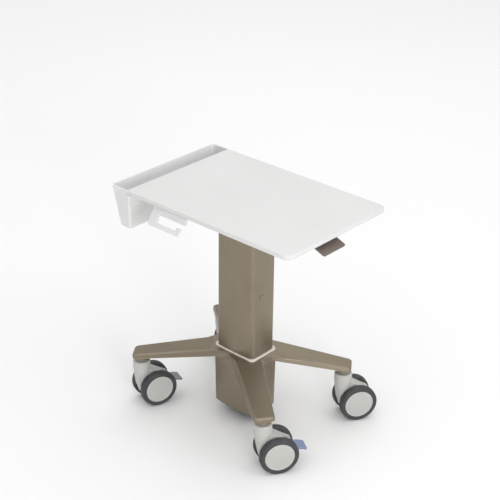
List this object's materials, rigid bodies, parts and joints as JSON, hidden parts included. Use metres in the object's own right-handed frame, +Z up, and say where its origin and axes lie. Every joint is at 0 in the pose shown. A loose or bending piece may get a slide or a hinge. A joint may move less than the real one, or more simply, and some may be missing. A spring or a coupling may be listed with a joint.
{
  "type": "mobile laptop cart",
  "caption": "Height-adjustable mobile medical cart: worksurface with side bin and hook on a telescoping gas-spring column, lift lever, X-shaped base and swivel casters with brakes.",
  "frame": {"origin": "on the floor, under the axis of the column", "axes": "+Z up, +X along the worksurface's long side towards the lift lever, -Y towards the person who stands at the worksurface"},
  "size_m": [0.5892, 0.4542, 0.628],
  "materials": {
    "champagne_metal": "brushed and bronze anodised",
    "champagne_plastic": "matt moulded plastic",
    "collar_plastic": "satin cream plastic",
    "mast_aluminium": "satin anodised",
    "dark_steel": "black powder coat",
    "fastener_steel": "zinc plated",
    "glide_plastic": "low-friction plastic",
    "spring_black": "gloss black paint",
    "chrome_rod": "polished",
    "white_plastic": "fine satin texture",
    "bin_plastic": "satin moulded plastic",
    "cable_black": "satin sheath",
    "lever_plastic": "satin moulded plastic",
    "caster_grey": "satin moulded plastic",
    "hub_grey": "satin moulded plastic",
    "tyre_rubber": "soft polyurethane",
    "pedal_grey": "satin moulded plastic",
    "pedal_blue": "satin moulded plastic"
  },
  "bodies": {
    "root": {"base_casting": "champagne_metal", "base_collar": "collar_plastic", "lower_housing": "champagne_metal", "housing_base_plate": "dark_steel", "base_plate_screws": "fastener_steel", "inner_mast": "mast_aluminium", "mast_bolts": "fastener_steel", "mast_glides": "glide_plastic", "gas_spring_cylinder": "spring_black", "gas_spring_foot_pin": "fastener_steel", "caster_stems": "fastener_steel", "swivel_bearings": "fastener_steel"},
    "column": {"column_sleeve": "champagne_metal", "sleeve_glides": "glide_plastic", "column_top_plate": "dark_steel", "column_top_bolts": "fastener_steel", "top_plate_screws": "fastener_steel", "worksurface": "white_plastic", "accessory_screws": "fastener_steel", "storage_bin": "bin_plastic", "accessory_hook": "bin_plastic", "lever_bracket": "dark_steel", "lever_pin": "fastener_steel", "release_cable": "cable_black", "cable_clips": "glide_plastic", "gas_spring_rod": "chrome_rod", "gas_spring_head": "dark_steel", "release_pin": "fastener_steel", "adjuster_cap": "champagne_plastic"},
    "lift_lever": {"lift_lever": "lever_plastic"},
    "release_lever": {"release_lever": "dark_steel"},
    "front_left_caster": {"front_left_caster_housing": "caster_grey", "front_left_axle": "fastener_steel", "front_left_pedal_pin": "fastener_steel"},
    "front_left_outer_wheel": {"front_left_outer_hub": "hub_grey", "front_left_outer_tyre": "tyre_rubber"},
    "front_left_inner_wheel": {"front_left_inner_hub": "hub_grey", "front_left_inner_tyre": "tyre_rubber"},
    "front_left_pedal": {"front_left_brake_pedal": "pedal_grey"},
    "front_right_caster": {"front_right_caster_housing": "caster_grey", "front_right_axle": "fastener_steel", "front_right_pedal_pin": "fastener_steel"},
    "front_right_outer_wheel": {"front_right_outer_hub": "hub_grey", "front_right_outer_tyre": "tyre_rubber"},
    "front_right_inner_wheel": {"front_right_inner_hub": "hub_grey", "front_right_inner_tyre": "tyre_rubber"},
    "front_right_pedal": {"front_right_brake_pedal": "pedal_blue"},
    "rear_right_caster": {"rear_right_caster_housing": "caster_grey", "rear_right_axle": "fastener_steel"},
    "rear_right_outer_wheel": {"rear_right_outer_hub": "hub_grey", "rear_right_outer_tyre": "tyre_rubber"},
    "rear_right_inner_wheel": {"rear_right_inner_hub": "hub_grey", "rear_right_inner_tyre": "tyre_rubber"},
    "rear_left_caster": {"rear_left_caster_housing": "caster_grey", "rear_left_axle": "fastener_steel"},
    "rear_left_outer_wheel": {"rear_left_outer_hub": "hub_grey", "rear_left_outer_tyre": "tyre_rubber"},
    "rear_left_inner_wheel": {"rear_left_inner_hub": "hub_grey", "rear_left_inner_tyre": "tyre_rubber"}
  },
  "joints": [
    {"name": "column_lift", "type": "slide", "parent": "root", "child": "column", "axis": [0, 0, 1], "range_m": [0, 0.4]},
    {"name": "lift_lever_pivot", "type": "hinge", "parent": "column", "child": "lift_lever", "pos_m": [0.245, -0.0305, 0.603], "axis": [0, -1, 0], "range_deg": [0, 8], "stiffness_Nm_per_rad": 1.5},
    {"name": "release_lever_pivot", "type": "hinge", "parent": "column", "child": "release_lever", "pos_m": [0.011, 0, 0.605], "axis": [0, -1, 0], "range_deg": [0, 7.2]},
    {"name": "front_left_swivel", "type": "hinge", "parent": "root", "child": "front_left_caster", "pos_m": [-0.2259, -0.1577, 0.115], "axis": [0, 0, 1], "continuous": true},
    {"name": "front_left_outer_spin", "type": "hinge", "parent": "front_left_caster", "child": "front_left_outer_wheel", "pos_m": [-0.1872, -0.13523, 0.05], "axis": [0.9379, -0.3469, 0], "continuous": true},
    {"name": "front_left_inner_spin", "type": "hinge", "parent": "front_left_caster", "child": "front_left_inner_wheel", "pos_m": [-0.24066, -0.11546, 0.05], "axis": [0.9379, -0.3469, 0], "continuous": true},
    {"name": "front_left_brake", "type": "hinge", "parent": "front_left_caster", "child": "front_left_pedal", "pos_m": [-0.20439, -0.09955, 0.07], "axis": [-0.9379, 0.3469, 0], "range_deg": [0, 12]},
    {"name": "front_right_swivel", "type": "hinge", "parent": "root", "child": "front_right_caster", "pos_m": [0.2021, -0.1577, 0.115], "axis": [0, 0, 1], "continuous": true},
    {"name": "front_right_outer_spin", "type": "hinge", "parent": "front_right_caster", "child": "front_right_outer_wheel", "pos_m": [0.24479, -0.14429, 0.05], "axis": [0.8387, -0.5446, 0], "continuous": true},
    {"name": "front_right_inner_spin", "type": "hinge", "parent": "front_right_caster", "child": "front_right_inner_wheel", "pos_m": [0.19699, -0.11324, 0.05], "axis": [0.8387, -0.5446, 0], "continuous": true},
    {"name": "front_right_brake", "type": "hinge", "parent": "front_right_caster", "child": "front_right_pedal", "pos_m": [0.23587, -0.1057, 0.07], "axis": [-0.8387, 0.5446, 0], "range_deg": [0, 12]},
    {"name": "rear_right_swivel", "type": "hinge", "parent": "root", "child": "rear_right_caster", "pos_m": [0.2021, 0.1577, 0.115], "axis": [0, 0, 1], "continuous": true},
    {"name": "rear_right_outer_spin", "type": "hinge", "parent": "rear_right_caster", "child": "rear_right_outer_wheel", "pos_m": [0.24445, 0.17215, 0.05], "axis": [0.8517, -0.524, 0], "continuous": true},
    {"name": "rear_right_inner_spin", "type": "hinge", "parent": "rear_right_caster", "child": "rear_right_inner_wheel", "pos_m": [0.1959, 0.20202, 0.05], "axis": [0.8517, -0.524, 0], "continuous": true},
    {"name": "rear_left_swivel", "type": "hinge", "parent": "root", "child": "rear_left_caster", "pos_m": [-0.2259, 0.1577, 0.115], "axis": [0, 0, 1], "continuous": true},
    {"name": "rear_left_outer_spin", "type": "hinge", "parent": "rear_left_caster", "child": "rear_left_outer_wheel", "pos_m": [-0.18454, 0.17478, 0.05], "axis": [0.8829, -0.4695, 0], "continuous": true},
    {"name": "rear_left_inner_spin", "type": "hinge", "parent": "rear_left_caster", "child": "rear_left_inner_wheel", "pos_m": [-0.23487, 0.20154, 0.05], "axis": [0.8829, -0.4695, 0], "continuous": true}
  ],
  "couplings": [
    {"joint": "release_lever_pivot", "follows": "lift_lever_pivot", "ratio": 0.8889}
  ]
}
